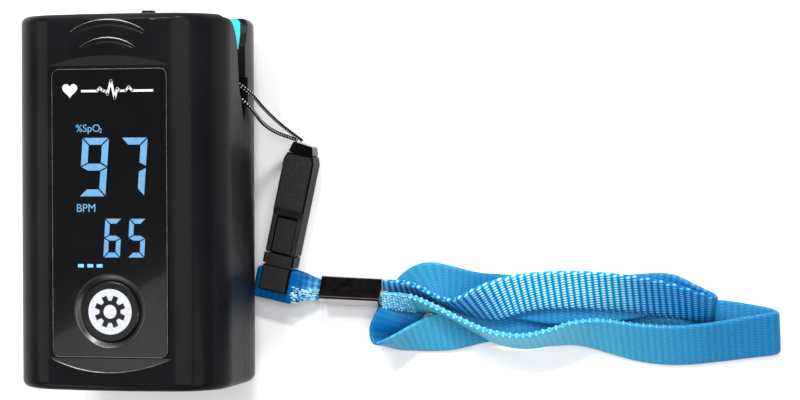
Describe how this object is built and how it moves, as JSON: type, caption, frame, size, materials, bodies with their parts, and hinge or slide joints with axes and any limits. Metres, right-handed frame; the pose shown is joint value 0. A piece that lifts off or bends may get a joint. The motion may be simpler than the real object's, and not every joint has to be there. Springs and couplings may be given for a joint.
{
  "type": "fingertip pulse oximeter",
  "caption": "Fingertip pulse oximeter: spring clip with a display, a power button, a battery cover and a wrist lanyard with a release clasp.",
  "frame": {"origin": "middle of the flat back face that the device rests on", "axes": "+Z is the display's outward normal, +Y points to the end that is squeezed, -Y to the finger's entry, +X to the lanyard's side"},
  "size_m": [0.1188, 0.0596, 0.032],
  "materials": {
    "case_black": "fine satin texture",
    "window_black": "polished",
    "button_black": "satin gloss",
    "mark_white": "printed white",
    "display_glass": "smoked glass",
    "board_green": "solder mask",
    "chip_black": "moulded",
    "liner_turquoise": "satin",
    "pad_rubber": "soft silicone",
    "lens_clear": "clear resin over the die",
    "steel": "plated",
    "cell_wrap": "printed sleeve, plain",
    "flex_amber": "polyimide film",
    "cord_black": "braided",
    "clasp_black": "fine spark texture, glossy edges",
    "webbing_blue": "woven polyester with a sheen",
    "crimp_metal": "polished"
  },
  "bodies": {
    "rear_half": {"rear_housing": "case_black", "battery_1": "cell_wrap", "battery_2": "cell_wrap", "battery_springs": "steel", "battery_contacts": "steel", "lower_liner": "liner_turquoise", "lower_finger_pad": "pad_rubber", "sensor_board": "board_green", "photo_sensor": "lens_clear", "rear_screws": "steel", "hinge_pin": "steel", "torsion_spring_left": "steel", "torsion_spring_right": "steel", "flex_cable": "flex_amber", "flex_connector": "chip_black", "lanyard_post": "steel", "lanyard_cord": "cord_black", "clasp_cap": "clasp_black", "clasp_socket": "clasp_black"},
    "front_half": {"front_housing": "case_black", "display_window": "window_black", "display_module": "display_glass", "main_board": "board_green", "board_components": "chip_black", "tact_switch": "steel", "upper_liner": "liner_turquoise", "upper_finger_pad": "pad_rubber", "led_emitter": "lens_clear", "front_screws": "steel"},
    "power_button": {"power_button": "button_black", "button_mark": "mark_white"},
    "battery_cover": {"battery_cover": "case_black"},
    "strap_end": {"clasp_plug": "clasp_black", "webbing_loop": "webbing_blue", "strap_crimp": "crimp_metal", "neck_strap": "webbing_blue"},
    "clasp_tongue": {"clasp_latch": "clasp_black"}
  },
  "joints": [
    {"name": "clip_hinge", "type": "hinge", "parent": "rear_half", "child": "front_half", "pos_m": [0, 0.0125, 0.0161], "axis": [-1, 0, 0], "range_deg": [0, 17], "stiffness_Nm_per_rad": 0.2, "springref_deg": -17.19, "deforming": ["torsion_spring_left", "torsion_spring_right", "flex_cable"]},
    {"name": "button_press", "type": "slide", "parent": "front_half", "child": "power_button", "axis": [0, 0, -1], "range_m": [0, 0.00045], "stiffness_N_per_m": 1000, "springref_m": -0.0002},
    {"name": "cover_slide", "type": "slide", "parent": "rear_half", "child": "battery_cover", "axis": [0, 1, 0], "range_m": [0, 0.05]},
    {"name": "clasp_release", "type": "slide", "parent": "rear_half", "child": "strap_end", "axis": [-0.213, -0.977, 0], "range_m": [0, 0.004]},
    {"name": "clasp_catch", "type": "hinge", "parent": "strap_end", "child": "clasp_tongue", "pos_m": [0.01937, -0.00849, 0.00305], "axis": [-0.977, 0.213, 0], "range_deg": [0, 5], "stiffness_Nm_per_rad": 0.05, "springref_deg": -2.86}
  ]
}
